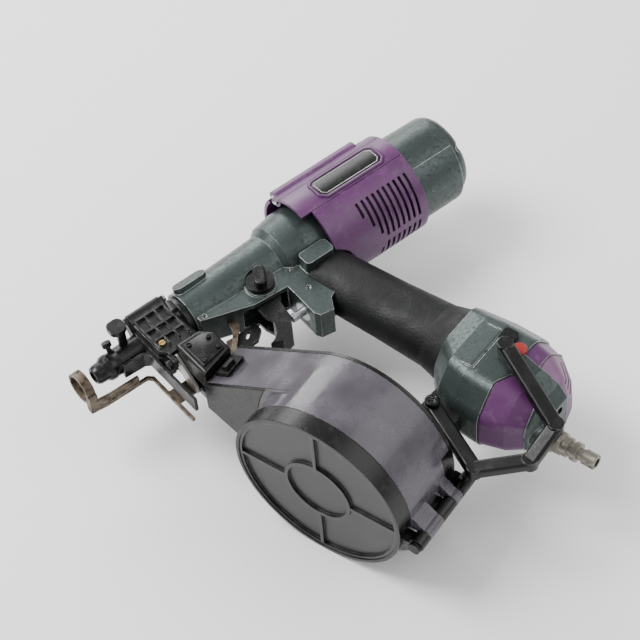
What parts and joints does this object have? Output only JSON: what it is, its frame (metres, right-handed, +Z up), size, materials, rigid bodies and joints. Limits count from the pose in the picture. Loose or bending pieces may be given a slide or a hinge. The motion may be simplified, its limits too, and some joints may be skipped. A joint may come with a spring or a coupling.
{
  "type": "pneumatic coil roofing nailer",
  "caption": "Pneumatic coil nailer with a round side magazine, long cast barrel, moulded shroud, rubber grip, belt hook and quick air plug.",
  "frame": {"origin": "bottom centre of the bounding box, on the surface that the tool lies on", "axes": "+X along the barrel from the nose to the head cap, +Y from the handle side to the crown, +Z up out of the side that faces up"},
  "size_m": [0.319, 0.306, 0.125],
  "materials": {
    "casting": "sand-cast alloy under a thin worn clear coat",
    "shroud": "moulded purple ABS with a fine grain",
    "grille": "moulded mauve ABS, dusty",
    "plate": "satin black label plate, blank",
    "grip": "moulded black rubber with a fine texture",
    "black_steel": "black oxide and paint, worn on the edges",
    "black_plastic": "black glass-filled nylon",
    "disc": "grey-black moulded nylon, dusty",
    "smoky": "smoky clear polycarbonate, scratched",
    "worn_steel": "worn blackened steel",
    "bright_steel": "ground steel",
    "bolt_steel": "black oxide steel",
    "plug": "nickel plated steel, dull",
    "gold_screw": "yellow zinc plate",
    "button": "moulded red plastic",
    "inner_alloy": "turned and anodised",
    "inner_rubber": "dark elastomer",
    "bush": "turned steel",
    "spring": "spring steel",
    "inner_plastic": "black nylon"
  },
  "bodies": {
    "body": {"air_plug": "plug", "blade_bush": "bush", "bumper": "inner_rubber", "coil_post": "inner_plastic", "contact_spring": "spring", "cover_pin": "bolt_steel", "cylinder_sleeve": "inner_alloy", "door_pin": "bright_steel", "duster_nozzle": "black_plastic", "end_cap": "casting", "end_cap_bolts": "bolt_steel", "end_cap_inserts": "shroud", "exhaust_grille": "grille", "feed_housing": "black_plastic", "feed_spring": "spring", "front_plate": "black_steel", "grip_sleeve": "grip", "guide_plate": "bright_steel", "hanger_block": "black_steel", "head_cap": "casting", "head_cap_bolts": "bolt_steel", "head_valve_spring": "spring", "hook": "black_steel", "hook_screw": "bolt_steel", "inlet_bush": "plug", "lock_tab": "black_steel", "magazine_case": "black_plastic", "magazine_disc": "disc", "magazine_stay": "worn_steel", "main_housing": "casting", "name_plates": "plate", "nose_body": "black_steel", "nose_tip": "black_plastic", "plunger_spring": "spring", "roll_pins": "bright_steel", "shroud_belly": "shroud", "shroud_crown": "shroud", "shroud_panels": "shroud", "shroud_posts": "inner_alloy", "tip_screw": "bolt_steel", "trigger_pin": "bright_steel", "trigger_valve": "inner_alloy"},
    "drive": {"piston": "inner_alloy", "piston_seal": "inner_rubber", "driver_blade": "bright_steel"},
    "head_valve": {"head_valve": "inner_alloy"},
    "trigger": {"trigger": "black_plastic"},
    "plunger": {"valve_plunger": "inner_alloy"},
    "mode_knob": {"mode_knob": "black_plastic"},
    "contact_arm": {"contact_arm": "worn_steel", "push_plate": "black_steel"},
    "nose_door": {"nose_door": "black_steel", "door_screw": "gold_screw"},
    "door_latch": {"door_latch": "black_steel"},
    "feeder": {"feed_piston": "inner_alloy", "feed_pawl": "bright_steel"},
    "cover": {"magazine_cover": "smoky"},
    "cover_latch": {"cover_latch": "black_plastic"},
    "tray": {"coil_tray": "inner_plastic"},
    "duster_button": {"duster_button": "button"}
  },
  "joints": [
    {"name": "piston_stroke", "type": "slide", "parent": "body", "child": "drive", "axis": [-1, 0, 0], "range_m": [0, 0.075]},
    {"name": "head_valve_lift", "type": "slide", "parent": "body", "child": "head_valve", "axis": [1, 0, 0], "range_m": [0, 0.004], "stiffness_N_per_m": 2000, "springref_m": -0.004, "deforming": ["head_valve_spring"]},
    {"name": "trigger_pull", "type": "hinge", "parent": "body", "child": "trigger", "pos_m": [-0.0165, 0.08904, 0.0625], "axis": [0, 0, 1], "range_deg": [0, 12], "stiffness_Nm_per_rad": 1, "springref_deg": -8.59},
    {"name": "plunger_slide", "type": "slide", "parent": "body", "child": "plunger", "axis": [1, 0, 0], "range_m": [0, 0.0035], "deforming": ["plunger_spring"]},
    {"name": "mode_turn", "type": "hinge", "parent": "body", "child": "mode_knob", "pos_m": [-0.0205, 0.09604, 0.0795], "axis": [0, 0, 1], "range_deg": [0, 90]},
    {"name": "contact_slide", "type": "slide", "parent": "body", "child": "contact_arm", "axis": [1, 0, 0], "range_m": [0, 0.012], "stiffness_N_per_m": 600, "springref_m": -0.012, "deforming": ["contact_spring"]},
    {"name": "door_swing", "type": "hinge", "parent": "body", "child": "nose_door", "pos_m": [-0.093, 0.13084, 0.0745], "axis": [-1, 0, 0], "range_deg": [0, 110]},
    {"name": "latch_swing", "type": "hinge", "parent": "nose_door", "child": "door_latch", "pos_m": [-0.1055, 0.08504, 0.07], "axis": [1, 0, 0], "range_deg": [0, 60]},
    {"name": "feed_stroke", "type": "slide", "parent": "body", "child": "feeder", "axis": [0, 1, 0], "range_m": [-0.01, 0], "stiffness_N_per_m": 800, "springref_m": 0.006, "deforming": ["feed_spring"]},
    {"name": "cover_swing", "type": "hinge", "parent": "body", "child": "cover", "pos_m": [-0.04397, -0.11243, 0.0535], "axis": [0.9583, 0.2857, 0], "range_deg": [0, 100]},
    {"name": "cover_latch_slide", "type": "slide", "parent": "cover", "child": "cover_latch", "axis": [0.9583, 0.2857, 0], "range_m": [0, 0.006]},
    {"name": "tray_height", "type": "slide", "parent": "body", "child": "tray", "axis": [0.9583, 0.2857, 0], "range_m": [-0.02, 0.01]},
    {"name": "duster_press", "type": "slide", "parent": "body", "child": "duster_button", "axis": [0, 0, -1], "range_m": [0, 0.003], "stiffness_N_per_m": 800, "springref_m": -0.002}
  ],
  "couplings": [
    {"joint": "plunger_slide", "follows": "trigger_pull", "m_per_rad": 0.016711}
  ]
}
